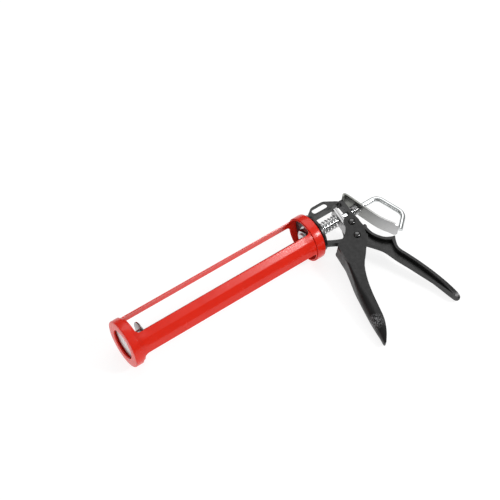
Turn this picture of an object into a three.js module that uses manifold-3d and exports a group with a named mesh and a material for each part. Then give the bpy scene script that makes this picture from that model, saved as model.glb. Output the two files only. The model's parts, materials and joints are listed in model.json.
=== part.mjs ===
// Skeleton caulking gun for 310 ml cartridges: a turning sheet-steel cradle, a cast frame with its handle,
// a trigger that drives a hooked push rod through gripping plates, and a release lever at the back.
//
// Gun frame, in millimetres: x runs along the rod from the front face of the cradle to the rear hook, the
// handle points to -y, and z runs across the gun. The rod axis is y = z = 0. The last group lays the gun on
// its side, as it rests on a table, with the origin at the bottom centre of the whole object.
import * as THREE from "three";
import { mergeVertices } from "three/addons/utils/BufferGeometryUtils.js";
import Module from "manifold-3d";

const wasm = await Module();
wasm.setup();

// ---- driving dimensions ----
const GAP = 0.3; // between pieces that touch
const SHEET = 1.05;

// cradle
const RING_RADIUS = 28;
const SHELL_RADIUS = 26.1; // over the corners of the facets
const SHELL_FACETS = 18;
const SHELL_TURN = -20.9; // degrees from +z towards +y, to the upper edge of the wide side wall
const CUP_FACE = 1.2;
const CUP_DEPTH = 9.5;
const NOZZLE_RADIUS = 17.4;
const SEAT_RADIUS = 24.4; // the cartridge's front edge rests inside this
const SEAT_X = 1.6;
const WINDOW_FRONT = 12.6;
const WINDOW_REAR = 243;
const WINDOW_FILLET = 5;
const COLLAR_RADIUS = 27.5;
const COLLAR_FRONT = 243.6;
const COLLAR_REAR = 254.7;
const COLLAR_WALL = 1.4;

// swivel that joins the cradle to the frame
const SWIVEL_RADIUS = 8;
const SWIVEL_HEAD_RADIUS = 9.6;
const SWIVEL_FRONT = 242;
const SWIVEL_HEAD_START = 262.6;
const SWIVEL_REAR = 266;
const FLANGE_RADIUS = 23;
const FLANGE_FRONT = 257.2;
const FLANGE_REAR = 262.2;

// rod
const ROD_RADIUS = 3.2;
const ROD_FRONT = 3.8;
const ROD_HOLE = 3.65;
const PUSH_PLATE_RADIUS = 23;
const PUSH_PLATE_FRONT = 4.4;
const PUSH_PLATE_SHEET = 1.6;
const GUIDE_RADIUS = 14.4;
const GUIDE_REAR = 25;

// frame casting
const FRAME_HALF = 5.8; // rim round the mechanism window
const TOP_WEB_HALF = 1.2; // plate above the rim, with the hanging slot
const WEB_HALF = 3.5;
const FLANGE_HALF = 8.5;

// trigger
const TRIGGER_HALF = 10;
const TRIGGER_INNER_HALF = 8.2;
const TRIGGER_WALL = 1.9;
const PIVOT = [294.5, -33.2];
const DRIVE_PIN = [300.7, -15.6];
const PIN_RADIUS = 2.6;
const PIN_CLEARANCE = 0.15;
const STOP_PIN_Y = -24.6;

// drive plates, springs and release lever
const DRIVE_PLATE_X = 296.3;
const DRIVE_PLATE_SHEET = 2.2;
const DRIVE_PLATE_TILT = THREE.MathUtils.degToRad(8);
const MAIN_SPRING_COILS = 6.5;
const MAIN_SPRING_RADIUS = 6.6;
const MAIN_SPRING_WIRE = 0.95;
const LEVER_HALF = 10.5;
const LEVER_SHEET = 2;
const LEVER_TOP = [318.6, 19.4];
const LEVER_TILT = THREE.MathUtils.degToRad(14.5);

// the gun lies on its side: it leans until the handle touches what it lies on
const LEAN = THREE.MathUtils.degToRad(7.72);

// ---- materials ----
function paint(color, roughness, metalness) {
  return new THREE.MeshStandardMaterial({ color, roughness, metalness });
}
const redPaint = paint(0xd32b1c, 0.35, 0.1);
const blackCasting = paint(0x2b2b2c, 0.55, 0.3);
const blackGloss = paint(0x101010, 0.2, 0.3);
const zinc = paint(0xc9ccce, 0.35, 1);
const chrome = paint(0xdfe2e4, 0.15, 1);
const springSteel = paint(0xb9bcbf, 0.3, 1);

// ---- solids ----
// A closed geometry as a manifold solid, with its faces pointing out.
function solid(geometry) {
  const bare = geometry.clone();
  bare.deleteAttribute("normal");
  bare.deleteAttribute("uv");
  const merged = mergeVertices(bare, 1e-4);
  const points = merged.attributes.position.array;
  const corners = new Uint32Array(merged.index.array);
  if (signedVolume(points, corners) < 0) {
    for (let i = 0; i < corners.length; i += 3) {
      [corners[i + 1], corners[i + 2]] = [corners[i + 2], corners[i + 1]];
    }
  }
  return new wasm.Manifold(
    new wasm.Mesh({ numProp: 3, vertProperties: points, triVerts: corners }),
  );
}

function signedVolume(points, corners) {
  const a = new THREE.Vector3();
  const b = new THREE.Vector3();
  const c = new THREE.Vector3();
  let volume = 0;
  for (let i = 0; i < corners.length; i += 3) {
    a.fromArray(points, 3 * corners[i]);
    b.fromArray(points, 3 * corners[i + 1]);
    c.fromArray(points, 3 * corners[i + 2]);
    volume += a.dot(b.cross(c)) / 6;
  }
  return volume;
}

function meshOf(name, made, material, parent) {
  const data = made.getMesh();
  const geometry = new THREE.BufferGeometry();
  geometry.setAttribute("position", new THREE.BufferAttribute(data.vertProperties, 3));
  geometry.setIndex(new THREE.BufferAttribute(data.triVerts, 1));
  geometry.computeVertexNormals();
  const mesh = new THREE.Mesh(geometry, material);
  mesh.name = name;
  parent.add(mesh);
  return mesh;
}

function join(...solids) {
  return solids.reduce((all, next) => all.add(next));
}

// A profile of [x, radius] corners turned about the x axis.
function turned(profile, sides = 48) {
  const closed = [...profile, profile[0]].map(([x, r]) => new THREE.Vector2(r, x));
  return solid(new THREE.LatheGeometry(closed, sides).rotateZ(-Math.PI / 2));
}

function tube(x0, x1, inner, outer, sides = 36) {
  return turned([[x0, inner], [x0, outer], [x1, outer], [x1, inner]], sides);
}

function disc(x0, x1, radius, sides = 48) {
  return turned([[x0, 0], [x0, radius], [x1, radius], [x1, 0]], sides);
}

// A flat shape in the x, y plane, as thick as z0 to z1.
function slab(shape, z0, z1, curveSegments = 6) {
  const options = { depth: z1 - z0, bevelEnabled: false, curveSegments };
  return solid(new THREE.ExtrudeGeometry(shape, options).translate(0, 0, z0));
}

function slabBothWays(shape, half, curveSegments = 6) {
  return slab(shape, -half, half, curveSegments);
}

function polygon(points) {
  return new THREE.Shape(points.map(([x, y]) => new THREE.Vector2(x, y)));
}

// A round pin across the gun, along z.
function crossPin([x, y], radius, z0, z1, sides = 24) {
  const pin = new THREE.CylinderGeometry(radius, radius, z1 - z0, sides).rotateX(Math.PI / 2);
  return solid(pin.translate(x, y, (z0 + z1) / 2));
}

// A solid through rings that all have the same number of points, with flat ends or closed on itself.
function loft(rings, endless = false) {
  const count = rings[0].length;
  const points = rings.flat().flatMap((p) => p.toArray());
  const corners = [];
  const spans = endless ? rings.length : rings.length - 1;
  for (let i = 0; i < spans; i++) {
    const from = i * count;
    const to = ((i + 1) % rings.length) * count;
    for (let k = 0; k < count; k++) {
      const next = (k + 1) % count;
      corners.push(from + k, from + next, to + next);
      corners.push(from + k, to + next, to + k);
    }
  }
  if (!endless) {
    capRing(rings[0], 0, corners, false);
    capRing(rings.at(-1), (rings.length - 1) * count, corners, true);
  }
  const geometry = new THREE.BufferGeometry();
  geometry.setAttribute("position", new THREE.Float32BufferAttribute(points, 3));
  geometry.setIndex(corners);
  return solid(geometry);
}

function capRing(ring, offset, corners, last) {
  for (let k = 1; k < ring.length - 1; k++) {
    const pair = last ? [offset + k, offset + k + 1] : [offset + k + 1, offset + k];
    corners.push(offset, ...pair);
  }
}

// Values between the knots of [position, value] pairs, along a smooth curve.
function along(knots) {
  const curve = new THREE.CatmullRomCurve3(
    knots.map(([at, value]) => new THREE.Vector3(at, value, 0)),
    false,
    "centripetal",
  );
  const samples = curve.getPoints(knots.length * 24);
  return (at) => {
    const k = samples.findIndex((p) => p.x >= at);
    if (k === 0) return samples[0].y;
    if (k < 0) return samples.at(-1).y;
    const [a, b] = [samples[k - 1], samples[k]];
    return THREE.MathUtils.mapLinear(at, a.x, b.x, a.y, b.y);
  };
}

// ---- groups ----
const gun = new THREE.Group(); // in the gun frame
const cradle = new THREE.Group();
const frameGroup = new THREE.Group();
const triggerGroup = new THREE.Group();
const driveGroup = new THREE.Group();
const leverGroup = new THREE.Group();
const rodGroup = new THREE.Group();
gun.add(cradle, frameGroup, triggerGroup, driveGroup, leverGroup, rodGroup);

// ---- cradle ----
const FACET = (2 * Math.PI) / SHELL_FACETS;
const SHELL_START = THREE.MathUtils.degToRad(SHELL_TURN);

// Places an x and a radius at an angle from +z towards +y.
function around(x, radius, angle) {
  return new THREE.Vector3(x, radius * Math.sin(angle), radius * Math.cos(angle));
}

// Outer radius of the shell: round where it sits in the cup and the collar, faceted between.
function shellRadius(x, angle) {
  const inFacet = THREE.MathUtils.euclideanModulo(angle - SHELL_START, FACET) - FACET / 2;
  const flat = (SHELL_RADIUS * Math.cos(FACET / 2)) / Math.cos(inFacet);
  const faceted =
    THREE.MathUtils.smoothstep(x, WINDOW_FRONT - 2, WINDOW_FRONT + 12) *
    THREE.MathUtils.smoothstep(COLLAR_FRONT - x, 0, 14);
  return THREE.MathUtils.lerp(SHELL_RADIUS, Math.min(flat, SHELL_RADIUS - 0.06), faceted);
}

function shellTube() {
  const stations = [CUP_FACE + GAP, 12, 16, 20, 24.6, 229.6, 235, COLLAR_FRONT, 252.7];
  const rings = [];
  const perFacet = [0.06, 0.5, 0.94];
  for (let facet = 0; facet < SHELL_FACETS; facet++) {
    for (const part of perFacet) {
      const angle = SHELL_START + (facet + part) * FACET;
      const outside = stations.map((x) => around(x, shellRadius(x, angle), angle));
      const inside = stations.map((x) => around(x, shellRadius(x, angle) - SHEET, angle));
      rings.push([...outside, ...inside.reverse()]);
    }
  }
  return loft(rings, true);
}

// What is punched out of the shell between two angles, with rounded corners.
function windowCut(startFacet, facets) {
  const low = SHELL_START + startFacet * FACET;
  const high = low + facets * FACET;
  const filletAngle = WINDOW_FILLET / SHELL_RADIUS;
  const rings = [];
  const angles = [];
  for (let k = 0; k <= 4; k++) {
    angles.push(low + filletAngle * (1 - Math.cos((k / 4) * (Math.PI / 2))));
  }
  const steps = facets;
  for (let k = 1; k < steps; k++) {
    angles.push(THREE.MathUtils.lerp(low + filletAngle, high - filletAngle, k / steps));
  }
  for (let k = 4; k >= 0; k--) {
    angles.push(high - filletAngle * (1 - Math.cos((k / 4) * (Math.PI / 2))));
  }
  for (const angle of angles) {
    const edge = Math.min(angle - low, high - angle, filletAngle) * SHELL_RADIUS;
    const reach = WINDOW_FILLET - edge;
    const inset = WINDOW_FILLET - Math.sqrt(WINDOW_FILLET ** 2 - reach ** 2);
    const x0 = WINDOW_FRONT + inset;
    const x1 = WINDOW_REAR - inset;
    rings.push([
      around(x0, SHELL_RADIUS - 6, angle),
      around(x1, SHELL_RADIUS - 6, angle),
      around(x1, SHELL_RADIUS + 4, angle),
      around(x0, SHELL_RADIUS + 4, angle),
    ]);
  }
  return loft(rings);
}

// Four facets make the viewing window, two the rail, nine the loading opening, and three the wide side wall.
function barrelShell() {
  return shellTube().subtract(windowCut(0, 4)).subtract(windowCut(6, 9));
}

function frontCup() {
  const round = 1.1;
  return turned([
    [CUP_FACE, RING_RADIUS - SHEET],
    [CUP_FACE, SEAT_RADIUS + 0.4],
    [SEAT_X, SEAT_RADIUS],
    [SEAT_X, NOZZLE_RADIUS],
    [0.25, NOZZLE_RADIUS],
    [0, NOZZLE_RADIUS + 0.4],
    [0, RING_RADIUS - round],
    [0.35, RING_RADIUS - 0.35],
    [round, RING_RADIUS],
    [CUP_DEPTH, RING_RADIUS],
    [CUP_DEPTH, RING_RADIUS - SHEET],
  ], 48);
}

function rearCollar() {
  return turned([
    [COLLAR_FRONT, COLLAR_RADIUS - SHEET],
    [COLLAR_FRONT, COLLAR_RADIUS - 0.4],
    [COLLAR_FRONT + 0.6, COLLAR_RADIUS],
    [COLLAR_REAR - 1.1, COLLAR_RADIUS],
    [COLLAR_REAR - 0.35, COLLAR_RADIUS - 0.35],
    [COLLAR_REAR, COLLAR_RADIUS - 1.1],
    [COLLAR_REAR, SWIVEL_RADIUS + 0.6],
    [COLLAR_REAR - COLLAR_WALL, SWIVEL_RADIUS + 0.6],
    [COLLAR_REAR - COLLAR_WALL, COLLAR_RADIUS - SHEET],
  ], 48);
}

// The galvanised plate that stiffens the collar's back wall, pressed up round its hole.
function rearPlate() {
  const back = COLLAR_REAR - COLLAR_WALL - GAP;
  const front = back - 1.6;
  return turned([
    [front, SWIVEL_RADIUS + 0.6],
    [front, 24],
    [front + 0.7, 24.7],
    [back, 24.7],
    [back, SWIVEL_RADIUS + 0.6],
  ], 36);
}

meshOf("front_cup", frontCup(), redPaint, cradle);
meshOf("barrel_shell", barrelShell(), redPaint, cradle);
meshOf("rear_collar", rearCollar(), redPaint, cradle);
meshOf("rear_plate", rearPlate(), zinc, cradle);

// ---- swivel ----
// A hollow bolt: its head is inside the frame, its nut inside the cradle.
function swivelBolt() {
  return turned([
    [SWIVEL_FRONT, ROD_HOLE],
    [SWIVEL_FRONT, SWIVEL_RADIUS - 0.6],
    [SWIVEL_FRONT + 0.6, SWIVEL_RADIUS],
    [SWIVEL_HEAD_START, SWIVEL_RADIUS],
    [SWIVEL_HEAD_START, SWIVEL_HEAD_RADIUS],
    [SWIVEL_REAR - 0.6, SWIVEL_HEAD_RADIUS],
    [SWIVEL_REAR, SWIVEL_HEAD_RADIUS - 0.6],
    [SWIVEL_REAR, ROD_HOLE],
  ], 36);
}

function hexNut(x0, x1, bore, flats) {
  const corner = flats / Math.sqrt(3);
  const hex = new THREE.CylinderGeometry(corner, corner, x1 - x0, 6).rotateZ(-Math.PI / 2);
  const chamfer = turned([
    [x0, 0],
    [x0, corner - 1.1],
    [x0 + 1.1, corner + 0.1],
    [x1 - 1.1, corner + 0.1],
    [x1, corner - 1.1],
    [x1, 0],
  ], 36);
  const body = solid(hex.translate((x0 + x1) / 2, 0, 0)).intersect(chamfer);
  return body.subtract(disc(x0 - 1, x1 + 1, bore, 36));
}

const PLATE_FRONT = COLLAR_REAR - COLLAR_WALL - GAP - 1.6;
meshOf("swivel_bolt", swivelBolt(), zinc, frameGroup);
const HUB_BORE = SWIVEL_RADIUS + GAP;
meshOf("hub_washer", tube(PLATE_FRONT - 1.5, PLATE_FRONT - GAP, HUB_BORE, 14), zinc, frameGroup);
meshOf("hub_nut", hexNut(PLATE_FRONT - 7.4, PLATE_FRONT - 1.8, HUB_BORE, 21), chrome, frameGroup);
const swivelWasher = tube(COLLAR_REAR + GAP, FLANGE_FRONT - GAP, HUB_BORE, 19);
meshOf("swivel_washer", swivelWasher, blackGloss, frameGroup);

// ---- frame casting ----
// Outer outline of the mechanism housing: along the top rim, down the rear wall and under the pivot.
function housingOutline() {
  const shape = new THREE.Shape();
  shape.moveTo(260, 17.7);
  shape.lineTo(312.2, 17.7);
  shape.quadraticCurveTo(313.7, 17.5, 313.6, 15.8);
  shape.lineTo(311.2, -12);
  shape.lineTo(311.2, -34);
  shape.lineTo(300, -46);
  shape.quadraticCurveTo(290, -43.5, 283.4, -36);
  shape.quadraticCurveTo(277, -28.6, 260, -20.6);
  shape.closePath();
  return shape;
}

// The thin plate above the rim, which holds the hanging slot.
function topWeb() {
  const shape = new THREE.Shape();
  shape.moveTo(262.4, 16.9);
  shape.lineTo(268.9, 24.5);
  shape.lineTo(275.4, 29);
  shape.quadraticCurveTo(277.4, 30.3, 280, 30.3);
  shape.lineTo(292, 30.3);
  shape.quadraticCurveTo(294.5, 30.2, 296.6, 28.9);
  shape.lineTo(309.2, 21.2);
  shape.lineTo(312, 17.6);
  shape.lineTo(312, 16.9);
  shape.closePath();
  return shape;
}

// Beside the lower bar, which is a thin rib in the frame's mid plane.
function besideLowerBar(side) {
  const shape = polygon([[FLANGE_REAR, -10], [FLANGE_REAR, -60], [284.6, -60], [284.6, -10]]);
  return side > 0 ? slab(shape, WEB_HALF, 20) : slab(shape, -20, -WEB_HALF);
}

// The opening that the spring and the drive plates work in.
function mechanismOpening() {
  const shape = new THREE.Shape();
  shape.moveTo(FLANGE_REAR + 0.4, 16.1);
  shape.lineTo(306.9, 16.1);
  shape.quadraticCurveTo(308.5, 16.1, 308.4, 14.5);
  shape.lineTo(307, -19);
  shape.quadraticCurveTo(306.6, -23.4, 301, -24.4);
  shape.lineTo(284, -26.4);
  shape.quadraticCurveTo(274, -23.6, FLANGE_REAR + 0.4, -16.4);
  shape.closePath();
  return shape;
}

function hangingSlot() {
  const [x, y, reach, radius] = [285.6, 24.3, 7.3, 3.35];
  const shape = new THREE.Shape();
  shape.absarc(x + reach, y, radius, -Math.PI / 2, Math.PI / 2, false);
  shape.absarc(x - reach, y, radius, Math.PI / 2, (3 * Math.PI) / 2, false);
  return shape;
}

// Back outline of the handle, from the rear wall to the tip: saddle, horn and palm side.
const HANDLE_BACK = [
  [311.2, -30], [312.2, -40], [318, -50.5], [325, -55.6], [331, -57.6],
];
const PALM_SIDE = [
  [331, -57.6], [327, -64], [324.2, -73], [327.8, -86], [331.2, -98], [335.6, -117], [339.2, -138],
  [341.4, -152],
];
const TIP = [340.2, -159.2];
const HANDLE_FRONT = [
  [300, -46], [306.5, -55], [312, -64.5], [316.3, -81], [321.6, -97], [326.2, -112], [330.8, -127],
  [334.6, -141],
  [337.2, -152],
];

function handleWeb() {
  const shape = new THREE.Shape();
  shape.moveTo(298, -30);
  shape.lineTo(...HANDLE_BACK[0]);
  shape.splineThru(HANDLE_BACK.slice(1).map(([x, y]) => new THREE.Vector2(x - 0.4, y - 0.4)));
  shape.splineThru(PALM_SIDE.slice(1).map(([x, y]) => new THREE.Vector2(x - 0.4, y)));
  shape.lineTo(TIP[0], TIP[1] + 1);
  const front = HANDLE_FRONT.map(([x, y]) => new THREE.Vector2(x, y)).reverse();
  shape.splineThru(front);
  shape.closePath();
  return shape;
}

// The wide rim along the back of the handle, which curls round its tip.
function handleRim() {
  const shape = new THREE.Shape();
  shape.moveTo(...HANDLE_BACK[0]);
  shape.splineThru(HANDLE_BACK.slice(1).map(([x, y]) => new THREE.Vector2(x, y)));
  shape.splineThru(PALM_SIDE.slice(1).map(([x, y]) => new THREE.Vector2(x, y)));
  shape.bezierCurveTo(342.4, -156, 342.8, -160.8, 340.2, -160.8);
  shape.bezierCurveTo(337.4, -160.8, 337, -156.6, 337.4, -153);
  const inner = [
    [335.9, -138], [332.4, -118.2], [328, -98.8], [324.6, -87], [320.9, -73.4], [323, -64], [324.6, -59.6],
  ];
  shape.splineThru(inner.map(([x, y]) => new THREE.Vector2(x, y)));
  const saddle = [[322, -58.4], [315.6, -53], [309.6, -42.4], [307.6, -30]];
  shape.splineThru(saddle.map(([x, y]) => new THREE.Vector2(x, y)));
  shape.closePath();
  return shape;
}

// Seen along x, the handle narrows to a rounded tip.
function handleTaper() {
  const shape = new THREE.Shape();
  shape.moveTo(-20, -FLANGE_HALF);
  shape.lineTo(128, -FLANGE_HALF);
  shape.quadraticCurveTo(143, -FLANGE_HALF + 0.3, 151, -6.5);
  shape.quadraticCurveTo(161, -4.2, 161, 0);
  shape.quadraticCurveTo(161, 4.2, 151, 6.5);
  shape.quadraticCurveTo(143, FLANGE_HALF - 0.3, 128, FLANGE_HALF);
  shape.lineTo(-20, FLANGE_HALF);
  shape.closePath();
  const options = { depth: 120, bevelEnabled: false, curveSegments: 6 };
  const side = new THREE.ExtrudeGeometry(shape, options);
  const place = new THREE.Matrix4().makeBasis(
    new THREE.Vector3(0, -1, 0),
    new THREE.Vector3(0, 0, -1),
    new THREE.Vector3(1, 0, 0),
  );
  return solid(side.applyMatrix4(place).translate(260, 0, 0));
}

function frontFlange() {
  return turned([
    [FLANGE_FRONT, 0],
    [FLANGE_FRONT, FLANGE_RADIUS - 1],
    [FLANGE_FRONT + 1, FLANGE_RADIUS],
    [FLANGE_REAR - 1.6, FLANGE_RADIUS],
    [FLANGE_REAR, FLANGE_RADIUS - 2.4],
    [FLANGE_REAR, 0],
  ], 48);
}

function handleFrame() {
  const housing = slabBothWays(housingOutline(), FRAME_HALF)
    .subtract(slabBothWays(mechanismOpening(), 20))
    .subtract(besideLowerBar(1))
    .subtract(besideLowerBar(-1));
  const top = slabBothWays(topWeb(), TOP_WEB_HALF).subtract(slabBothWays(hangingSlot(), 20, 8));
  const handle = join(slabBothWays(handleWeb(), WEB_HALF, 5), slabBothWays(handleRim(), FLANGE_HALF, 5));
  const stopHole = disc(308, 320, 1.6 + GAP, 20).translate([0, STOP_PIN_Y, 0]);
  return join(housing, top, handle.intersect(handleTaper()), frontFlange())
    .subtract(stopHole)
    .subtract(disc(240, 340, ROD_HOLE, 24))
    .subtract(disc(FLANGE_FRONT - 1, FLANGE_REAR + 1, SWIVEL_RADIUS + 0.2, 36))
    .subtract(disc(FLANGE_REAR + 0.01, SWIVEL_REAR + 1, SWIVEL_HEAD_RADIUS + GAP, 36))
    .subtract(crossPin(PIVOT, PIN_RADIUS + PIN_CLEARANCE, -20, 20));
}

meshOf("handle_frame", handleFrame(), blackCasting, frameGroup);

// A small stop on the frame's rear wall, which the release lever comes to rest against.
function stopPin() {
  const profile = [
    [308.4, 0], [308.4, 1.6], [312.4, 1.6], [312.4, 2.6], [315.6, 2.6], [316.4, 1.8], [316.4, 0],
  ];
  return turned(profile, 20).translate([0, STOP_PIN_Y, 0]);
}
meshOf("stop_pin", stopPin(), blackCasting, frameGroup);

// ---- trigger ----
const triggerFront = along([
  [26, 269], [33, 265.6], [42, 264.6], [54, 262.2], [70, 256.6], [93, 247.8], [125, 239.2],
  [150, 234.6], [158, 233],
]);
const triggerBack = along([
  [26, 300], [33, 300], [42, 299], [50, 294], [58, 287.3], [70, 275.6], [86, 266.6], [103, 259.9],
  [120, 254.8],
  [137, 249.4], [149, 242.6], [155, 238], [158, 235.6],
]);
const triggerHalf = along([[26, 10], [120, 10], [138, 9.4], [150, 7.6], [156, 5.2], [158, 3.4]]);
const triggerRound = along([[26, 2.6], [60, 3], [85, 6], [105, 9], [138, 8.6], [150, 7], [158, 3]]);

// Outline of the trigger's closed front, in a plane of constant y.
function triggerSection(depth, wall) {
  const half = triggerHalf(depth) - (wall ? TRIGGER_HALF - TRIGGER_INNER_HALF : 0);
  const front = triggerFront(depth) + wall;
  const back = triggerBack(depth) + wall * 6;
  const round = Math.max(0.6, Math.min(triggerRound(depth) - wall / 2, half - 0.1, back - front - 0.1));
  const section = [new THREE.Vector3(back, -depth, -half)];
  const steps = 6;
  for (let k = 0; k <= steps; k++) {
    const turn = (k / steps) * (Math.PI / 2);
    const x = front + round * (1 - Math.sin(turn));
    section.push(new THREE.Vector3(x, -depth, -half + round * (1 - Math.cos(turn))));
  }
  for (let k = steps; k >= 0; k--) {
    const turn = (k / steps) * (Math.PI / 2);
    const x = front + round * (1 - Math.sin(turn));
    section.push(new THREE.Vector3(x, -depth, half - round * (1 - Math.cos(turn))));
  }
  section.push(new THREE.Vector3(back, -depth, half));
  return section;
}

function triggerLever() {
  const depths = [
    34, 38, 42, 46, 50, 54, 58, 62, 66, 71, 76, 82, 88, 94, 100, 107, 114, 120, 126, 131, 136, 140,
    144, 147, 150,
    152.5, 155, 156.6, 158,
  ];
  const outer = loft(depths.map((depth) => triggerSection(depth, 0)));
  const inside = [20, ...depths.slice(0, -5)];
  const inner = loft(inside.map((depth) => triggerSection(depth, TRIGGER_WALL)));
  return outer.subtract(inner);
}

// The two cheeks that straddle the frame and carry the pins.
function triggerCheek() {
  const shape = new THREE.Shape();
  shape.moveTo(266, -34.6);
  shape.quadraticCurveTo(266, -32, 268.4, -31);
  shape.quadraticCurveTo(279, -28.4, 285, -23);
  shape.quadraticCurveTo(290, -18.6, 292.2, -13);
  shape.quadraticCurveTo(294.6, -5.6, 301.6, -5.2);
  shape.bezierCurveTo(308, -5.4, 310.4, -11.4, 309.4, -18);
  shape.bezierCurveTo(308.2, -30, 304.6, -39.5, 297.6, -47.7);
  shape.lineTo(290, -54.8);
  shape.lineTo(262.2, -58);
  shape.closePath();
  return shape;
}

function triggerPiece() {
  const cheeks = join(
    slab(triggerCheek(), TRIGGER_INNER_HALF, TRIGGER_HALF, 10),
    slab(triggerCheek(), -TRIGGER_HALF, -TRIGGER_INNER_HALF, 10),
  );
  return join(triggerLever(), cheeks)
    .subtract(crossPin(PIVOT, PIN_RADIUS + PIN_CLEARANCE, -20, 20))
    .subtract(crossPin(DRIVE_PIN, PIN_RADIUS + PIN_CLEARANCE, -20, 20));
}

// A rivet across both cheeks with a low domed head on each side.
function rivet([x, y]) {
  const inside = TRIGGER_HALF + GAP;
  const dome = [];
  for (let k = 0; k <= 4; k++) {
    const turn = (k / 4) * (Math.PI / 2);
    dome.push([inside + 0.5 + 1.9 * Math.sin(turn), 4.1 * Math.cos(turn)]);
  }
  const head = [[inside, PIN_RADIUS], [inside, 3.9], ...dome];
  const tail = head.map(([at, r]) => [-at, r]).reverse();
  dome.at(-1)[1] = 0;
  tail[0][1] = 0;
  head.at(-1)[1] = 0;
  const profile = [...tail, ...head];
  return turned(profile, 20).rotate([0, -90, 0]).translate([x, y, 0]);
}

meshOf("trigger", triggerPiece(), blackCasting, triggerGroup);
meshOf("pivot_rivet", rivet(PIVOT), blackGloss, triggerGroup);
meshOf("drive_rivet", rivet(DRIVE_PIN), blackGloss, triggerGroup);

// A loose sleeve on the upper rivet, which rolls on the rear drive plate.
function driveSleeve() {
  const half = TRIGGER_INNER_HALF - GAP;
  const hole = crossPin(DRIVE_PIN, PIN_RADIUS + PIN_CLEARANCE, -half - 1, half + 1);
  return crossPin(DRIVE_PIN, 4, -half, half).subtract(hole);
}
meshOf("drive_sleeve", driveSleeve(), zinc, triggerGroup);

// ---- drive plates and springs ----
// A gripping plate: a tongue with a hole that bites on the rod when the plate tilts.
function drivePlate(x) {
  const half = 7;
  const shape = new THREE.Shape();
  shape.moveTo(-half + 1.5, 13.2);
  shape.lineTo(half - 1.5, 13.2);
  shape.lineTo(half, 11.7);
  shape.lineTo(half, -19);
  shape.quadraticCurveTo(half - 1, -22, half - 4, -22);
  shape.lineTo(-half + 4, -22);
  shape.quadraticCurveTo(-half + 1, -22, -half, -19);
  shape.lineTo(-half, 11.7);
  shape.closePath();
  const options = { depth: DRIVE_PLATE_SHEET, bevelEnabled: false, curveSegments: 4 };
  const plate = new THREE.ExtrudeGeometry(shape, options).rotateY(Math.PI / 2);
  const leaning = solid(plate.rotateZ(-DRIVE_PLATE_TILT).translate(x, 0, 0));
  return leaning.subtract(disc(x - 9, x + 9, ROD_HOLE, 24));
}

meshOf("drive_plate_front", drivePlate(DRIVE_PLATE_X - 2.7), zinc, driveGroup);
meshOf("drive_plate_rear", drivePlate(DRIVE_PLATE_X), zinc, driveGroup);

class Helix extends THREE.Curve {
  constructor(x0, x1, radius, turns) {
    super();
    Object.assign(this, { x0, x1, radius, turns });
  }
  getPoint(t, target = new THREE.Vector3()) {
    const angle = 2 * Math.PI * this.turns * t;
    const x = THREE.MathUtils.lerp(this.x0, this.x1, t);
    return target.copy(around(x, this.radius, angle));
  }
}

// A round wire along a curve.
function wire(curve, radius, steps, sides = 8) {
  const section = new THREE.Shape();
  for (let k = 0; k < sides; k++) {
    const angle = (2 * Math.PI * k) / sides;
    const point = [radius * Math.cos(angle), radius * Math.sin(angle)];
    if (k) section.lineTo(...point);
    else section.moveTo(...point);
  }
  section.closePath();
  return solid(new THREE.ExtrudeGeometry(section, { steps, bevelEnabled: false, extrudePath: curve }));
}

function coilSpring(x0, x1, radius, wireRadius, turns) {
  const inset = wireRadius + 0.2;
  return wire(new Helix(x0 + inset, x1 - inset, radius, turns), wireRadius, Math.round(turns * 12), 6);
}

const mainSpring = coilSpring(
  SWIVEL_REAR + 0.1,
  DRIVE_PLATE_X - 3.8,
  MAIN_SPRING_RADIUS,
  MAIN_SPRING_WIRE,
  MAIN_SPRING_COILS,
);
meshOf("main_spring", mainSpring, springSteel, frameGroup);
meshOf("release_spring", coilSpring(314.2, 321.8, 5.6, 0.7, 3.5), springSteel, frameGroup);

// ---- release lever ----
// Side view of the pressed lever: a tab over the frame's top corner, a flat with the rod's hole, a thumb tab.
// Each place is a distance down the flat and a distance behind it.
const LEVER_LINE = [
  [0.6, -4], [-0.9, -2.2], [-0.4, -0.2], [2.6, 0.6], [8, 0.6], [30, 0.6], [46, 0.8], [56, 2.2],
  [65, 4.6], [74, 5.4],
];

function leverPoint([down, behind]) {
  const x = LEVER_TOP[0] + down * Math.sin(LEVER_TILT) + behind * Math.cos(LEVER_TILT);
  const y = LEVER_TOP[1] - down * Math.cos(LEVER_TILT) + behind * Math.sin(LEVER_TILT);
  return new THREE.Vector2(x, y);
}

// A strip of even thickness along a line of points in the x, y plane.
function ribbon(points, thickness) {
  const line = new THREE.SplineCurve(points).getPoints(40);
  const sides = [1, -1].map((side) =>
    line.map((p, k) => {
      const before = line[Math.max(k - 1, 0)];
      const after = line[Math.min(k + 1, line.length - 1)];
      const way = after.clone().sub(before).normalize();
      return [p.x - (side * way.y * thickness) / 2, p.y + (side * way.x * thickness) / 2];
    }),
  );
  return polygon([...sides[0], ...sides[1].reverse()]);
}

function releaseLever() {
  const strip = slabBothWays(ribbon(LEVER_LINE.map(leverPoint), LEVER_SHEET), LEVER_HALF);
  return strip.intersect(leverPlan()).subtract(leverRodHole());
}

// Seen along x, the lever is a strip whose lower end is round.
function leverPlan() {
  const shape = new THREE.Shape();
  const low = -52.2;
  shape.moveTo(-LEVER_HALF, 40);
  shape.lineTo(-LEVER_HALF, low + 9);
  shape.bezierCurveTo(-LEVER_HALF, low + 2, -5.5, low, 0, low);
  shape.bezierCurveTo(5.5, low, LEVER_HALF, low + 2, LEVER_HALF, low + 9);
  shape.lineTo(LEVER_HALF, 40);
  shape.closePath();
  const plan = new THREE.ExtrudeGeometry(shape, { depth: 60, bevelEnabled: false, curveSegments: 8 });
  return solid(plan.rotateY(Math.PI / 2).translate(300, 0, 0));
}

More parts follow.
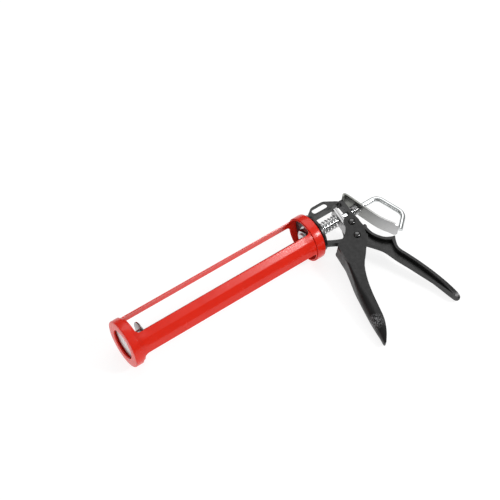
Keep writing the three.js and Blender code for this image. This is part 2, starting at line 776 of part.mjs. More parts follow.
function leverRodHole() {
  const shape = new THREE.Shape();
  shape.absellipse(0, 0, ROD_HOLE, ROD_HOLE + 1.2, 0, 2 * Math.PI, false, 0);
  const hole = new THREE.ExtrudeGeometry(shape, { depth: 30, bevelEnabled: false, curveSegments: 10 });
  return solid(hole.rotateY(Math.PI / 2).translate(312, 0, 0));
}

meshOf("release_lever", releaseLever(), zinc, leverGroup);

// ---- rod ----
const HOOK_KNEE = [352.4, 0];
const HOOK_ELBOW = [364.2, -36];
const HOOK_END = [345.8, -51.2];
const HOOK_BEND = 8;

// Straight legs joined by round bends.
function bentPath(points, bend) {
  const path = new THREE.CurvePath();
  const corners = points.map(([x, y]) => new THREE.Vector3(x, y, 0));
  let from = corners[0];
  for (let k = 1; k < corners.length - 1; k++) {
    const before = corners[k].clone().sub(corners[k - 1]).normalize();
    const after = corners[k + 1].clone().sub(corners[k]).normalize();
    const start = corners[k].clone().addScaledVector(before, -bend);
    const end = corners[k].clone().addScaledVector(after, bend);
    path.add(new THREE.LineCurve3(from, start));
    path.add(new THREE.QuadraticBezierCurve3(start, corners[k], end));
    from = end;
  }
  path.add(new THREE.LineCurve3(from, corners.at(-1)));
  return path;
}

function pushRod() {
  const start = 330;
  const path = bentPath([[start, 0], HOOK_KNEE, HOOK_ELBOW, HOOK_END], HOOK_BEND);
  const hook = wire(path, ROD_RADIUS, 22, 12);
  const straight = disc(ROD_FRONT, start + 0.5, ROD_RADIUS, 12);
  return join(straight, hook);
}

function pushPlate() {
  const front = PUSH_PLATE_FRONT;
  const back = front + PUSH_PLATE_SHEET;
  return turned([
    [front, ROD_RADIUS + GAP],
    [front, PUSH_PLATE_RADIUS - 2],
    [front + 0.8, PUSH_PLATE_RADIUS - 0.5],
    [front + 2.2, PUSH_PLATE_RADIUS],
    [front + 4.4, PUSH_PLATE_RADIUS],
    [front + 4.4, PUSH_PLATE_RADIUS - 1.4],
    [back + 0.8, PUSH_PLATE_RADIUS - 1.7],
    [back, PUSH_PLATE_RADIUS - 3],
    [back, ROD_RADIUS + GAP],
  ], 36);
}

meshOf("push_rod", pushRod(), chrome, rodGroup);
meshOf("push_plate", pushPlate(), zinc, rodGroup);
const ROD_BORE = ROD_RADIUS + GAP;
const WASHER_FRONT = PUSH_PLATE_FRONT + PUSH_PLATE_SHEET + GAP;
const PLATE_NUT_FRONT = WASHER_FRONT + 1.5 + GAP;
const PLATE_NUT_REAR = PLATE_NUT_FRONT + 3.3;
meshOf("plate_washer", tube(WASHER_FRONT, WASHER_FRONT + 1.5, ROD_BORE, 12.5), zinc, rodGroup);
meshOf("plate_nut", hexNut(PLATE_NUT_FRONT, PLATE_NUT_REAR, ROD_BORE, 10), zinc, rodGroup);

// A sleeve behind the push plate with a smaller disc at its rear end, which keeps the rod in the middle.
function guideDisc() {
  const front = PLATE_NUT_REAR + GAP;
  return turned([
    [front, ROD_BORE],
    [front, 6],
    [GUIDE_REAR - 2.2, 6],
    [GUIDE_REAR - 1.5, 6.7],
    [GUIDE_REAR - 1.5, GUIDE_RADIUS - 0.4],
    [GUIDE_REAR - 1.1, GUIDE_RADIUS],
    [GUIDE_REAR - 0.4, GUIDE_RADIUS],
    [GUIDE_REAR, GUIDE_RADIUS - 0.4],
    [GUIDE_REAR, ROD_BORE],
  ], 32);
}
meshOf("guide_disc", guideDisc(), zinc, rodGroup);

// ---- the gun as it lies ----
const lying = new THREE.Group();
gun.rotation.x = LEAN;
lying.add(gun);
lying.updateMatrixWorld(true);
const box = new THREE.Box3().setFromObject(lying, true);
const middle = box.getCenter(new THREE.Vector3());
lying.position.set(-middle.x, -middle.y, -box.min.z);

const group = new THREE.Group();
group.add(lying);
export default group;
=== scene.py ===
"""Looks of a skeleton caulking gun: red cradle, black frame and trigger, bright rod, springs and lever.

Shapes are made in the gun's own frame, in millimetres: x runs along the rod from the front face to the
hook, the handle points to -y and z runs across the gun. GUN_TO_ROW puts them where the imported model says,
in metres.
"""

import json
import math

import bmesh
import bpy
from mathutils import Matrix, Vector


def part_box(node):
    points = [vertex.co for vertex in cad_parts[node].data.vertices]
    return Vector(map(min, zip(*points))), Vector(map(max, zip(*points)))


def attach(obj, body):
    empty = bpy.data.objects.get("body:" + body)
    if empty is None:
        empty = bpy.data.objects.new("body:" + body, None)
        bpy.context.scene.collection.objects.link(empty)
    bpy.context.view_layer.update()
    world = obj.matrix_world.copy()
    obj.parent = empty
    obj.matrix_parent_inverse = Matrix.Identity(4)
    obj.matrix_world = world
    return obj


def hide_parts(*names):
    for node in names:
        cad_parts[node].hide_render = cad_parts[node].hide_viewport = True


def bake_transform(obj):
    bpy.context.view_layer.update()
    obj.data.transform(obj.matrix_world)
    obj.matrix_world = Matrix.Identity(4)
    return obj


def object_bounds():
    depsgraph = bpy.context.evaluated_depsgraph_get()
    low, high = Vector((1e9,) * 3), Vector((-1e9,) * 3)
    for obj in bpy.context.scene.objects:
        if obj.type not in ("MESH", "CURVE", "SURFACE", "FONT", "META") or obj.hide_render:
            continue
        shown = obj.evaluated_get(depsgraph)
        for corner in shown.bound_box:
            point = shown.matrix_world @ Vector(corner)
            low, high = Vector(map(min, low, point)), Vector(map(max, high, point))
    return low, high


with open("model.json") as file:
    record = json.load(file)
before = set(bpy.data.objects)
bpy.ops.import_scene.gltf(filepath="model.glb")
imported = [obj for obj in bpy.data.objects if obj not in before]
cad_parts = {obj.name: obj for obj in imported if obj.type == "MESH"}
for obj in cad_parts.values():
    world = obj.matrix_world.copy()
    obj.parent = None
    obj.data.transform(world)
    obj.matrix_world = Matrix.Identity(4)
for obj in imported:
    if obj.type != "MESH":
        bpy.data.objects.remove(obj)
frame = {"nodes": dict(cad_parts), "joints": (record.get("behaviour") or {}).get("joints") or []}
CAD_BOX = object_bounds()
NODES = frame["nodes"]
JOINTS = {joint["name"]: joint for joint in frame["joints"]}

# ---- where the gun is ----
MM = 0.001
cup_low, cup_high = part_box("front_cup")
FACE_CENTRE = Vector((cup_low.x, (cup_low.y + cup_high.y) / 2, (cup_low.z + cup_high.z) / 2))
across = Vector(JOINTS["trigger_pull"]["axis"])
LEAN = math.atan2(-across.y, across.z)
GUN_TO_ROW = Matrix.Translation(FACE_CENTRE) @ Matrix.Rotation(LEAN, 4, "X") @ Matrix.Scale(MM, 4)
FLOOR = CAD_BOX[0].z

# ---- sizes, in millimetres ----
GAP = 0.3
SHEET = 1.05
RING_RADIUS = 28
CUP_FACE = 1.2
CUP_DEPTH = 9.5
NOZZLE_RADIUS = 17.4
SHELL_RADIUS = 26.1
SHELL_FRONT = 1.5
SHELL_REAR = 252.7
SHELL_FACETS = 18
SHELL_START = math.radians(-20.9)
FACET = 2 * math.pi / SHELL_FACETS
WINDOW_FRONT = 12.6
WINDOW_REAR = 243
WINDOW_FILLET = 5
WINDOWS = [(0, 4), (6, 9)]  # first facet and number of facets of each opening
FACETS_FROM = WINDOW_FRONT - 2  # the shell is round up to here
FACETS_FADE = 14  # and its facets come and go over this length
END_BAND = [0, 0.45, 0.58, 0.68, 0.78, 0.88, 1]  # rings of points from a shell end to an opening
COLLAR_RADIUS = 27.5
COLLAR_FRONT = 243.6
COLLAR_REAR = 254.7
COLLAR_WALL = 1.4
SWIVEL_RADIUS = 8
SWIVEL_BORE = SWIVEL_RADIUS + 2 * GAP
SWIVEL_WASHER_RADIUS = 19
REAR_PLATE_RADIUS = 24.7
REAR_PLATE_SHEET = 1.6
FLANGE_FRONT = 257.2
ROD_RADIUS = 3.2
ROD_BORE = ROD_RADIUS + GAP
ROD_FRONT = 3.8
PUSH_PLATE_FRONT = 4.4
PUSH_PLATE_RADIUS = 23
PUSH_PLATE_SHEET = 1.6
PUSH_PLATE_DEPTH = 4.4
PUSH_PLATE_LIP = 1.4
PLATE_WASHER_RADIUS = 12.5
PLATE_WASHER_SHEET = 1.5
PLATE_NUT_DEPTH = 3.3
GUIDE_RADIUS = 14.4
GUIDE_REAR = 25
GUIDE_SHEET = 1.5
GUIDE_SLEEVE_RADIUS = 6
HOOK = [(352.4, 0), (364.2, -36), (345.8, -51.2)]
HOOK_BEND = 8
TRIGGER_HALF = 10
PIN_RADIUS = 2.6
RIVET_HEAD_RADIUS = 4.1
RIVET_HEAD_EDGE = 0.6
RIVET_DOME = 1.8
PIVOT = (294.5, -33.2)
TRIGGER_WEAR = (243, -133, 3)
# centre of the painted shade on the release lever
LEVER_PAINTED_SHADE = (314, 16, 0)
DRIVE_PIN = (300.7, -15.6)
MAIN_SPRING = (266.1, 292.5, 6.6, 0.95, 6.5)  # from, to, radius, wire radius, turns
RELEASE_SPRING = (314.2, 321.8, 5.6, 0.7, 3.5)

# ---- camera, at the photograph's viewing angle ----
LENS = 83.0
SENSOR = 36.0
CAMERA_FROM_FACE = Vector((-0.2916, -0.6685, 1.0028))
CAMERA_HEADING = math.radians(34.57)  # from +Y towards +X
CAMERA_DIP = math.radians(49.99)
CAMERA_ROLL = math.radians(-1.93)

# ---- studio sky, whose strength rises from the horizon's to the zenith's between two heights ----
HORIZON = 0.1
ZENITH = 0.5
SKY_LOW = 0.2
SKY_HIGH = 0.85


# ---- materials ----
class Finish:
    """A Principled material, with short calls for the procedural nodes that feed it."""

    def __init__(self, name, color, metallic, roughness, **sockets):
        self.material = bpy.data.materials.new(name)
        self.material.use_nodes = True
        self.tree = self.material.node_tree
        self.shader = self.tree.nodes["Principled BSDF"]
        self.shader.inputs["Base Color"].default_value = (*color, 1)
        self.shader.inputs["Metallic"].default_value = metallic
        self.shader.inputs["Roughness"].default_value = roughness
        for socket, value in sockets.items():
            self.shader.inputs[socket.replace("_", " ")].default_value = value
        self.place = self.node("ShaderNodeTexCoord").outputs["Object"]
        self.height = None

    def node(self, kind, **inputs):
        made = self.tree.nodes.new(kind)
        for name, value in inputs.items():
            self.feed(made.inputs[name.replace("_", " ")], value)
        return made

    def feed(self, socket, value):
        if isinstance(value, bpy.types.NodeSocket):
            self.tree.links.new(value, socket)
        else:
            socket.default_value = value

    def stretched(self, factors, turn=0.0):
        """Object coordinates scaled along x, y and z, after a turn about x."""
        made = self.node("ShaderNodeMapping", Vector=self.place, Scale=factors, Rotation=(turn, 0, 0))
        return made.outputs[0]

    def noise(self, feature_mm, detail=2.0, place=None):
        """Noise whose blobs are about feature_mm across."""
        scale = 1 / (feature_mm * MM)
        made = self.node("ShaderNodeTexNoise", Vector=place or self.place, Scale=scale, Detail=detail)
        return made.outputs["Fac"]

    def ramp(self, value, low, high, to_low=0.0, to_high=1.0):
        made = self.node("ShaderNodeMapRange", Value=value)
        for name, number in (("From Min", low), ("From Max", high), ("To Min", to_low), ("To Max", to_high)):
            made.inputs[name].default_value = number
        return made.outputs[0]

    def times(self, a, b):
        made = self.tree.nodes.new("ShaderNodeMath")
        made.operation = "MULTIPLY"
        self.feed(made.inputs[0], a)
        self.feed(made.inputs[1], b)
        return made.outputs[0]

    def distance(self, spot):
        """Distance in metres from a place in the gun's frame."""
        made = self.node("ShaderNodeVectorMath", Vector=self.place)
        made.operation = "DISTANCE"
        made.inputs[1].default_value = GUN_TO_ROW @ Vector(spot)
        return made.outputs["Value"]

    def mix(self, share, a, b):
        made = self.tree.nodes.new("ShaderNodeMix")
        made.data_type = "RGBA"
        self.feed(made.inputs[0], share)
        self.feed(made.inputs[6], a if isinstance(a, bpy.types.NodeSocket) else (*a, 1))
        self.feed(made.inputs[7], b if isinstance(b, bpy.types.NodeSocket) else (*b, 1))
        return made.outputs[2]

    def color(self, value):
        self.feed(self.shader.inputs["Base Color"], value)

    def tint(self, share, color):
        """Lays a colour over the base colour that is there already."""
        base = self.shader.inputs["Base Color"].links[0].from_socket
        self.color(self.mix(share, base, color))

    def roughness(self, value):
        self.feed(self.shader.inputs["Roughness"], value)

    def bump(self, height, depth_mm, strength=1.0):
        made = self.node("ShaderNodeBump", Height=height, Strength=strength, Distance=depth_mm * MM)
        if self.height is not None:
            self.feed(made.inputs["Normal"], self.height)
        self.height = made.outputs[0]
        self.feed(self.shader.inputs["Normal"], self.height)


def red_paint():
    """Glossy enamel on sheet steel: a shallow orange peel, and paint a little thinner in broad patches."""
    sockets = {"Specular_IOR_Level": 0.27, "Coat_Weight": 0.1, "Coat_Roughness": 0.1}
    finish = Finish("red_enamel", (0.78, 0.020, 0.007), 0, 0.26, **sockets)
    finish.color(finish.mix(finish.noise(40), (0.72, 0.016, 0.005), (0.84, 0.025, 0.009)))
    finish.roughness(finish.ramp(finish.noise(12, 3), 0.3, 0.7, 0.2, 0.28))
    finish.bump(finish.noise(2.6, 1), 0.006, 0.4)
    return finish.material


def black_coat(name, shade, roughness, grain, gloss=0.4):
    """Semi-gloss black coat over a rough surface, a little greyer where it is rubbed."""
    finish = Finish(name, (shade, shade, shade * 1.04), 0, roughness, Specular_IOR_Level=gloss)
    light = shade * 1.6
    finish.color(finish.mix(finish.ramp(finish.noise(9, 5), 0.45, 0.75), (shade,) * 3, (light,) * 3))
    finish.roughness(finish.ramp(finish.noise(4, 4), 0.3, 0.7, roughness * 0.8, roughness * 1.3))
    finish.bump(finish.noise(grain, 3), 0.02, 0.5)
    return finish


def worn_trigger_coat():
    """A black coat with bright specks where the trigger's tip rubs."""
    finish = black_coat("trigger_black", 0.006, 0.34, 1.1, 0.31)
    near = finish.ramp(finish.distance(TRIGGER_WEAR), 11 * MM, 1 * MM)
    specks = finish.times(near, finish.ramp(finish.noise(1.3, 4), 0.48, 0.6))
    finish.tint(specks, (0.42, 0.42, 0.43))
    return finish.material


def zinc_plate(name, shade, roughness, grain_mm, stretch, turn=0.0):
    """Plated steel with a fine grain, which a stretch under 1 draws out into lines along that axis."""
    finish = Finish(name, (shade, shade * 1.01, shade * 1.02), 1, roughness)
    lines = finish.noise(grain_mm, 3, finish.stretched(stretch, turn))
    dark = shade * 0.82
    finish.color(finish.mix(finish.ramp(lines, 0.3, 0.7), (dark, dark, dark * 1.01), (shade,) * 3))
    finish.roughness(finish.ramp(lines, 0.3, 0.7, roughness - 0.08, roughness + 0.1))
    finish.bump(lines, 0.012, 0.5)
    return finish


def lever_zinc():
    """Brushed zinc with painted shade, darker beside the frame's rear wall, above the rod."""
    finish = zinc_plate("lever_zinc", 0.62, 0.4, 0.9, (1, 0.06, 1), -LEAN)
    # painted shade: the lever is tinted dark near the frame's rear wall, where the wall shades it
    finish.tint(finish.ramp(finish.distance(LEVER_PAINTED_SHADE), 70 * MM, 15 * MM), (0.22, 0.225, 0.21))
    return finish.material


def satin_zinc():
    """Pale satin plating on the plunger's pressed disc."""
    finish = Finish("disc_zinc", (0.9, 0.9, 0.89), 0.0, 0.35)
    finish.color(finish.mix(finish.noise(9), (0.86, 0.86, 0.85), (0.96, 0.96, 0.95)))
    return finish.material


def galvanised():
    """Dull zinc with its flat crystals, in colours darkened as painted shade for the plate's place inside the
    rear collar.
    """
    finish = Finish("galvanised", (0.2, 0.2, 0.2), 1, 0.45)
    crystals = finish.node("ShaderNodeTexVoronoi", Vector=finish.place, Scale=1 / (3 * MM)).outputs["Color"]
    shade = finish.node("ShaderNodeSeparateColor", Color=crystals).outputs[0]
    # painted shade: the crystal colours are kept very dark because the plate sits inside the shaded collar
    finish.color(finish.mix(shade, (0.06, 0.06, 0.06), (0.15, 0.15, 0.15)))
    finish.roughness(finish.ramp(shade, 0, 1, 0.34, 0.55))
    return finish.material


def chrome_rod():
    """Bright plated rod with faint drawing lines along it and slightly darker patches."""
    finish = Finish("bright_rod", (0.7, 0.71, 0.72), 1, 0.2)
    lines = finish.noise(0.5, 3, finish.stretched((0.02, 1, 1)))
    patches = finish.ramp(finish.noise(12, 3), 0.35, 0.7)
    finish.color(finish.mix(patches, (0.58, 0.6, 0.6), (0.74, 0.76, 0.76)))
    finish.roughness(finish.ramp(lines, 0.3, 0.7, 0.09, 0.24))
    finish.bump(lines, 0.006, 0.4)
    return finish.material


ENAMEL = red_paint()
FRAME_BLACK = black_coat("frame_black", 0.007, 0.32, 0.9).material
TRIGGER_BLACK = worn_trigger_coat()
RIVET_BLACK = black_coat("rivet_black", 0.004, 0.08, 6, 1.0).material
WASHER_BLACK = black_coat("washer_black", 0.008, 0.34, 2).material
ZINC = zinc_plate("zinc", 0.72, 0.32, 1.2, (1, 1, 1)).material
LEVER_ZINC = lever_zinc()
PLATE_ZINC = zinc_plate("plate_zinc", 0.4, 0.3, 1.0, (1, 0.2, 1)).material
DISC_ZINC = satin_zinc()
GUIDE_ZINC = zinc_plate("guide_zinc", 0.34, 0.24, 2.0, (1, 1, 1)).material
SPRING_STEEL = zinc_plate("spring_steel", 0.66, 0.2, 0.6, (1, 1, 1)).material
NICKEL = zinc_plate("nickel", 0.6, 0.16, 2.0, (1, 1, 1)).material
GALVANISED_IN_PAINTED_SHADE = galvanised()
CHROME = chrome_rod()


# ---- building pieces ----
def piece(name, points, faces, material, slot, stands_for, body=None, sharp=40):
    """A closed mesh given in the gun frame, which rides on a body and stands for CAD nodes."""
    mesh = bpy.data.meshes.new(name)
    mesh.from_pydata([GUN_TO_ROW @ Vector(p) for p in points], [], faces)
    work = bmesh.new()
    work.from_mesh(mesh)
    bmesh.ops.remove_doubles(work, verts=work.verts, dist=1e-7)
    bmesh.ops.recalc_face_normals(work, faces=work.faces)
    work.to_mesh(mesh)
    work.free()
    mesh.shade_smooth()
    mesh.set_sharp_from_angle(angle=math.radians(sharp))
    mesh.materials.append(material)
    made = bpy.data.objects.new(name, mesh)
    bpy.context.scene.collection.objects.link(made)
    if body:
        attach(made, body)
    if stands_for:
        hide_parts(*stands_for)
    return made


def bevelled(made, width_mm, segments, angle):
    """Rounds a piece's or CAD node's edges with a modifier."""
    bevel = made.modifiers.new("round_edges", "BEVEL")
    bevel.width = width_mm * MM
    bevel.segments = segments
    bevel.limit_method = "ANGLE"
    bevel.angle_limit = math.radians(angle)
    bevel.harden_normals = True


def ring_faces(rings, sides, closed):
    """Quads between closed rings of equally many points, with the last ring joined to the first if closed."""
    faces = []
    for i in range(rings if closed else rings - 1):
        a, b = i * sides, (i + 1) % rings * sides
        for k in range(sides):
            n = (k + 1) % sides
            faces.append((a + k, a + n, b + n, b + k))
    return faces


def filleted(corners):
    """A closed outline from (a, b, fillet) corners, each rounded by its own fillet."""
    steps = 4
    outline = []
    count = len(corners)
    for k, (a, b, fillet) in enumerate(corners):
        here = Vector((a, b))
        if fillet <= 0:
            outline.append(here)
            continue
        before = (Vector(corners[k - 1][:2]) - here).normalized()
        after = (Vector(corners[(k + 1) % count][:2]) - here).normalized()
        half = before.angle(after) / 2
        reach = fillet / math.tan(half)
        start, end = here + before * reach, here + after * reach
        for step in range(steps + 1):
            t = step / steps
            outline.append(start.lerp(here, t).lerp(here.lerp(end, t), t))
    return outline


def turned(corners, sides=96):
    """A closed (x, radius, fillet) profile turned about the x axis."""
    outline = filleted(corners)
    points = []
    for k in range(sides):
        angle = 2 * math.pi * k / sides
        points += [(x, r * math.sin(angle), r * math.cos(angle)) for x, r in outline]
    return points, ring_faces(sides, len(outline), True)


def swept(path, radius, sides, end_round=0.5):
    """A round bar along a list of points, with its end edges rounded."""
    path = [Vector(p) for p in path]
    start_way = (path[1] - path[0]).normalized()
    end_way = (path[-1] - path[-2]).normalized()
    stations = [(path[0], 0.05), (path[0], radius - end_round), (path[0] + start_way * end_round, radius)]
    stations += [(p, radius) for p in path[1:-1]]
    stations += [(path[-1] - end_way * end_round, radius), (path[-1], radius - end_round), (path[-1], 0.05)]
    normal = start_way.orthogonal().normalized()
    points = []
    centres = [centre for centre, _ in stations]
    for k, (centre, size) in enumerate(stations):
        before, after = centres[max(k - 1, 0)], centres[min(k + 1, len(centres) - 1)]
        way = after - before
        way = way.normalized() if way.length > 1e-6 else end_way
        normal = (normal - way * normal.dot(way)).normalized()
        side = way.cross(normal)
        for s in range(sides):
            angle = 2 * math.pi * s / sides
            points.append(centre + (normal * math.cos(angle) + side * math.sin(angle)) * size)
    faces = ring_faces(len(stations), sides, False)
    last = (len(stations) - 1) * sides
    faces.append(tuple(reversed(range(sides))))
    faces.append(tuple(range(last, last + sides)))
    return points, faces


# ---- cradle ----
def smoothstep(value, low, high):
    t = min(1, max(0, (value - low) / (high - low)))
    return t * t * (3 - 2 * t)


def shell_radius(x, angle):
    """Outer radius of the shell: round at both ends, with flats and softly folded ridges between."""
    half = FACET / 2
    off = abs((angle - SHELL_START) % FACET - half)
    fold = 0.74 * half  # where a flat starts to turn into its ridge
    apothem = SHELL_RADIUS * math.cos(half)
    flat = apothem / math.cos(min(off, fold))
    if off > fold:
        slope = flat * math.tan(fold)
        flat += slope * ((off - fold) - (off - fold) ** 2 / (2 * (half - fold)))
    front = smoothstep(x, FACETS_FROM, FACETS_FROM + FACETS_FADE)
    rear = smoothstep(COLLAR_FRONT - x, 0, FACETS_FADE)
    return SHELL_RADIUS + (min(flat, SHELL_RADIUS - 0.03) - SHELL_RADIUS) * front * rear


def window_of(turn):
    """Start and end, in facets, of the opening at a place round the shell, or None."""
    for start, count in WINDOWS:
        if start <= turn <= start + count:
            return start, start + count
    return None


def window_inset(turn):
    """How far an opening's end is from its furthest reach, which rounds its corners."""
    window = window_of(turn)
    if window is None:
        return WINDOW_FILLET
    edge = min(turn - window[0], window[1] - turn) * FACET * SHELL_RADIUS
    reach = max(0.0, WINDOW_FILLET - edge)
    return WINDOW_FILLET - math.sqrt(WINDOW_FILLET**2 - reach**2)


def shell_stations(turn):
    """x of every ring of points, of which END_BAND's at either end are outside the openings."""
    inset = window_inset(turn)
    front, rear = WINDOW_FRONT + inset, WINDOW_REAR - inset
    head = [SHELL_FRONT + (front - SHELL_FRONT) * share for share in END_BAND]
    tail = [SHELL_REAR + (rear - SHELL_REAR) * share for share in reversed(END_BAND)]
    steps = [1.4, 2.9, 4.6, 7, 40, 100]
    between = [front + step for step in steps] + [rear - step for step in reversed(steps)]
    return head + between + tail


def barrel_shell():
    """The faceted sheet: an outer and an inner skin, joined round the ends and the openings."""
    shares = [0, 0.012, 0.03, 0.06, 0.11, 0.18, 0.3, 0.4, 0.5, 0.6, 0.7, 0.82, 0.89, 0.94, 0.97, 0.988]
    turns = [facet + share for facet in range(SHELL_FACETS) for share in shares]
    columns = [shell_stations(turn) for turn in turns]
    rows = len(columns[0])
    outer, inner = [], []
    for turn, stations in zip(turns, columns):
        angle = SHELL_START + turn * FACET
        for x in stations:
            radius = shell_radius(x, angle)
            outer.append((x, radius * math.sin(angle), radius * math.cos(angle)))
            radius -= SHEET
            inner.append((x, radius * math.sin(angle), radius * math.cos(angle)))
    skin = []
    strip_middle = shares[1] / 2
    band = len(END_BAND)
    for i, turn in enumerate(turns):
        n = (i + 1) % len(turns)
        is_open = window_of(turn + strip_middle) is not None
        for k in range(rows - 1):
            if is_open and band - 1 <= k < rows - band:
                continue
            skin.append((i * rows + k, i * rows + k + 1, n * rows + k + 1, n * rows + k))
    count = len(outer)
    edges = {(face[k], face[(k + 1) % 4]) for face in skin for k in range(4)}
    rim = [(b, a, a + count, b + count) for a, b in edges if (b, a) not in edges]
    lining = [tuple(v + count for v in reversed(face)) for face in skin]
    faces = skin + lining + sorted(rim)
    made = piece("shell", outer + inner, faces, ENAMEL, "red_paint", ["barrel_shell"], "cradle", 60)
    bevelled(made, 0.3, 2, 60)


def front_cup():
    profile = [
        (CUP_FACE + 0.3, RING_RADIUS - SHEET, 0.5),
        (CUP_FACE + 0.3, NOZZLE_RADIUS, 0.2),
        (0, NOZZLE_RADIUS, 0.5),
        (0, RING_RADIUS, 1.4),
        (CUP_DEPTH, RING_RADIUS, 0.25),
        (CUP_DEPTH, RING_RADIUS - SHEET, 0.25),
    ]
    piece("cup", *turned(profile, 128), ENAMEL, "red_paint", ["front_cup"], "cradle", 60)


def rear_collar():
    inner = COLLAR_RADIUS - SHEET
    profile = [
        (COLLAR_FRONT, inner, 0.2),
        (COLLAR_FRONT, COLLAR_RADIUS, 0.4),
        (COLLAR_REAR, COLLAR_RADIUS, 1.3),
        (COLLAR_REAR, SWIVEL_BORE, 0.3),
        (COLLAR_REAR - COLLAR_WALL, SWIVEL_BORE, 0.3),
        (COLLAR_REAR - COLLAR_WALL, inner, 0.4),
    ]
    piece("collar", *turned(profile, 128), ENAMEL, "red_paint", ["rear_collar"], "cradle", 60)


def rear_plate():
    back = COLLAR_REAR - COLLAR_WALL - GAP
    front = back - REAR_PLATE_SHEET
    profile = [
        (front, SWIVEL_BORE, 0.2),
        (front, REAR_PLATE_RADIUS, 0.8),
        (back, REAR_PLATE_RADIUS, 0.2),
        (back, SWIVEL_BORE, 0.2),
    ]
    piece("stiffening_plate", *turned(profile), GALVANISED_IN_PAINTED_SHADE, "galvanised", ["rear_plate"], "cradle")


# ---- rod ----
def hook_path():
    """Centre line of the rod: straight, then bent round the three corners of its hook."""
    corners = [Vector((x, y, 0)) for x, y in HOOK]
    path = [Vector((x, 0, 0)) for x in (ROD_FRONT, 120, 240)]
    last = path[-1]
    for here, after in zip(corners, corners[1:]):
        start = here + (last - here).normalized() * HOOK_BEND
        end = here + (after - here).normalized() * HOOK_BEND
        for step in range(13):
            t = step / 12
            path.append(start.lerp(here, t).lerp(here.lerp(end, t), t))
        last = here
    return path + [corners[-1]]


def push_rod():
    piece("rod", *swept(hook_path(), ROD_RADIUS, 32), CHROME, "rod_chrome", ["push_rod"], "rod")


def push_plate():
    front, radius = PUSH_PLATE_FRONT, PUSH_PLATE_RADIUS
    back, rim = front + PUSH_PLATE_SHEET, front + PUSH_PLATE_DEPTH
    profile = [
        (front, ROD_BORE, 0.1),
        (front, radius, 2),
        (rim, radius, 0.3),
        (rim, radius - PUSH_PLATE_LIP, 0.3),
        (back, radius - PUSH_PLATE_LIP, 1.2),
        (back, ROD_BORE, 0.1),
    ]
    piece("plunger_disc", *turned(profile), DISC_ZINC, "push_plate_zinc", ["push_plate"], "rod")


def plate_washer():
    front = PUSH_PLATE_FRONT + PUSH_PLATE_SHEET + GAP
    rear, radius = front + PLATE_WASHER_SHEET, PLATE_WASHER_RADIUS
    profile = [(front, ROD_BORE, 0.2), (front, radius, 0.3), (rear, radius, 0.3), (rear, ROD_BORE, 0.2)]
    piece("disc_washer", *turned(profile, 64), ZINC, "zinc", ["plate_washer"], "rod")


def guide_disc():
    """The small disc and the sleeve that holds it, behind the push plate, its washer and its nut."""
    front = PUSH_PLATE_FRONT + PUSH_PLATE_SHEET + PLATE_WASHER_SHEET + PLATE_NUT_DEPTH + 3 * GAP
    rear, face = GUIDE_REAR, GUIDE_REAR - GUIDE_SHEET
    profile = [
        (front, ROD_BORE, 0.1),
        (front, GUIDE_SLEEVE_RADIUS, 0.4),
        (face, GUIDE_SLEEVE_RADIUS, 0.7),
        (face, GUIDE_RADIUS, 0.45),
        (rear, GUIDE_RADIUS, 0.45),
        (rear, ROD_BORE, 0.2),
    ]
    piece("small_disc", *turned(profile), GUIDE_ZINC, "zinc", ["guide_disc"], "rod")


# ---- springs ----
def coil(name, sizes, node):
    """A coil spring with closed ends."""
    x0, x1, radius, wire, turns = sizes
    steps = int(turns * 28)
    first, last = x0 + wire + 0.05, x1 - wire - 0.05
    dead = 0.8  # turns of closed coil at each end
    closed = 2 * wire * 1.06
    path = []
    for k in range(steps + 1):
        turn = turns * k / steps
        if turn < dead:
            x = first + closed * turn
        elif turn > turns - dead:
            x = last - closed * (turns - turn)
        else:
            share = (turn - dead) / (turns - 2 * dead)
            x = first + closed * dead + (last - first - 2 * closed * dead) * share
        angle = 2 * math.pi * turn
        path.append((x, radius * math.sin(angle), radius * math.cos(angle)))
    made = piece(name, *swept(path, wire, 12, 0.2), SPRING_STEEL, "spring_steel", [node])
    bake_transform(made)


# ---- rivets and round fittings ----
def rivet(name, centre, node):
    """A rivet across the trigger's cheeks: a neck and a domed head at each end, turned about its own axis."""
    inside, head = TRIGGER_HALF + GAP, RIVET_HEAD_RADIUS
    dome = inside + RIVET_HEAD_EDGE
    neck = [(0, PIN_RADIUS), (inside, PIN_RADIUS)]
    profile = neck + [(inside, head - 0.2), (inside + 0.25, head), (dome, head)]
    for step in range(1, 9):
        turn = step / 8 * math.pi / 2
        profile.append((dome + RIVET_DOME * math.sin(turn), max(0.02, head * math.cos(turn))))
    both = [(-z, r) for z, r in reversed(profile[1:])] + profile
    sides = 48
    points = []
    for z, r in both:
        for k in range(sides):
            angle = 2 * math.pi * k / sides
            points.append((centre[0] + r * math.cos(angle), centre[1] + r * math.sin(angle), z))
    faces = ring_faces(len(both), sides, False)
    last = (len(both) - 1) * sides
    faces.append(tuple(reversed(range(sides))))
    faces.append(tuple(range(last, last + sides)))
    piece(name, points, faces, RIVET_BLACK, "black_rivet", [node], "trigger", 50)


def swivel_washer():
    bore, radius = SWIVEL_RADIUS + GAP, SWIVEL_WASHER_RADIUS
    front, back = COLLAR_REAR + GAP, FLANGE_FRONT - GAP
    profile = [(front, bore, 0.2), (front, radius, 0.5), (back, radius, 0.5), (back, bore, 0.2)]
    piece("nylon_washer", *turned(profile), WASHER_BLACK, "black_washer", ["swivel_washer"], "frame")


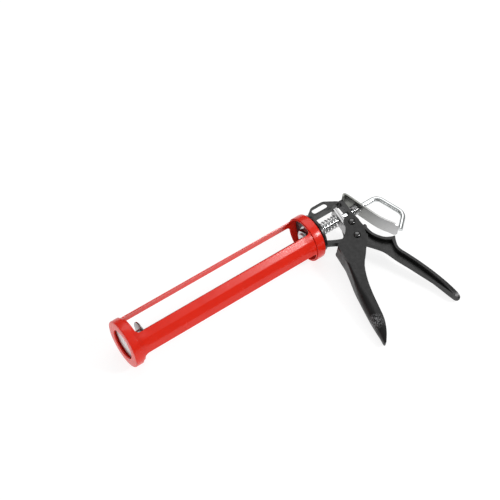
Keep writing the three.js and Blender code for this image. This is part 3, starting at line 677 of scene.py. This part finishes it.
# ---- CAD nodes that stay, with a better surface ----
def dress(name, material, bevel_mm, segments):
    """Gives a CAD node its material, joins its flat faces and rounds its edges, by modifiers only."""
    node = NODES[name]
    mesh = node.data
    if mesh.has_custom_normals:
        with bpy.context.temp_override(object=node, active_object=node, selected_objects=[node]):
            bpy.ops.mesh.customdata_custom_splitnormals_clear()
    mesh.materials.clear()
    mesh.materials.append(material)
    mesh.shade_smooth()
    weld = node.modifiers.new("weld", "WELD")
    weld.merge_threshold = 0.002 * MM
    flats = node.modifiers.new("flats", "DECIMATE")
    flats.decimate_type = "DISSOLVE"
    flats.angle_limit = math.radians(0.6)
    bevelled(node, bevel_mm, segments, 38)
    normals = node.modifiers.new("normals", "WEIGHTED_NORMAL")
    normals.keep_sharp = True


def dress_cad_nodes():
    dress("handle_frame", FRAME_BLACK, 0.6, 3)
    dress("trigger", TRIGGER_BLACK, 0.45, 3)
    dress("release_lever", LEVER_ZINC, 0.4, 2)
    dress("drive_plate_front", PLATE_ZINC, 0.3, 2)
    dress("drive_plate_rear", PLATE_ZINC, 0.3, 2)
    dress("drive_sleeve", ZINC, 0.3, 2)
    dress("stop_pin", FRAME_BLACK, 0.25, 2)
    dress("swivel_bolt", ZINC, 0.3, 2)
    dress("hub_washer", ZINC, 0.2, 2)
    dress("hub_nut", NICKEL, 0.25, 2)
    dress("plate_nut", ZINC, 0.2, 2)


# ---- setting ----
def set_camera():
    data = bpy.data.cameras.new("camera")
    data.lens = LENS
    data.sensor_width = SENSOR
    camera = bpy.data.objects.new("camera", data)
    bpy.context.scene.collection.objects.link(camera)
    turn = Matrix.Rotation(-CAMERA_HEADING, 4, "Z")
    dip = Matrix.Rotation(math.pi / 2 - CAMERA_DIP, 4, "X")
    roll = Matrix.Rotation(CAMERA_ROLL, 4, "Z")
    camera.matrix_world = Matrix.Translation(FACE_CENTRE + CAMERA_FROM_FACE) @ turn @ dip @ roll
    bpy.context.scene.camera = camera


def softbox(name, place, size, power):
    """A square area light that faces the gun."""
    data = bpy.data.lights.new(name, "AREA")
    data.shape = "SQUARE"
    data.size = size
    data.energy = power
    lamp = bpy.data.objects.new(name, data)
    lamp.location = place
    lamp.rotation_mode = "QUATERNION"
    lamp.rotation_quaternion = (-Vector(place)).to_track_quat("-Z", "Y")
    bpy.context.scene.collection.objects.link(lamp)


def set_floor():
    bpy.ops.mesh.primitive_plane_add(size=30, location=(0, 0, FLOOR - 0.2 * MM))
    floor = bpy.context.object
    floor.name = "floor"
    finish = Finish("floor_white", (0.25, 0.25, 0.25), 0, 0.7, Specular_IOR_Level=0.1, Emission_Strength=0.84)
    finish.shader.inputs["Emission Color"].default_value = (1, 1, 1, 1)
    floor.data.materials.append(finish.material)


def set_light():
    world = bpy.data.worlds.new("studio")
    world.use_nodes = True
    tree = world.node_tree
    way = tree.nodes.new("ShaderNodeTexCoord").outputs["Generated"]
    parts = tree.nodes.new("ShaderNodeSeparateXYZ")
    tree.links.new(way, parts.inputs[0])
    rise = tree.nodes.new("ShaderNodeMapRange")
    limits = {"From Min": SKY_LOW, "From Max": SKY_HIGH, "To Min": HORIZON, "To Max": ZENITH}
    for name, number in limits.items():
        rise.inputs[name].default_value = number
    tree.links.new(parts.outputs["Z"], rise.inputs["Value"])
    background = tree.nodes["Background"]
    background.inputs["Color"].default_value = (1, 1, 1, 1)
    tree.links.new(rise.outputs[0], background.inputs["Strength"])
    bpy.context.scene.world = world
    softbox("key", (0.9, 0.9, 1.7), 1.6, 14)
    softbox("strip", (0.86, -0.97, 1.12), 0.32, 13)
    softbox("front", (-1.5, -0.2, 0.5), 0.6, 4)
    view = bpy.context.scene.view_settings
    view.view_transform = "Standard"
    view.look = "None"


set_camera()
set_floor()
set_light()

barrel_shell()
front_cup()
rear_collar()
rear_plate()
push_rod()
push_plate()
plate_washer()
guide_disc()
coil("mainspring", MAIN_SPRING, "main_spring")
coil("lever_spring", RELEASE_SPRING, "release_spring")
rivet("rivet_lower", PIVOT, "pivot_rivet")
rivet("rivet_upper", DRIVE_PIN, "drive_rivet")
swivel_washer()
dress_cad_nodes()
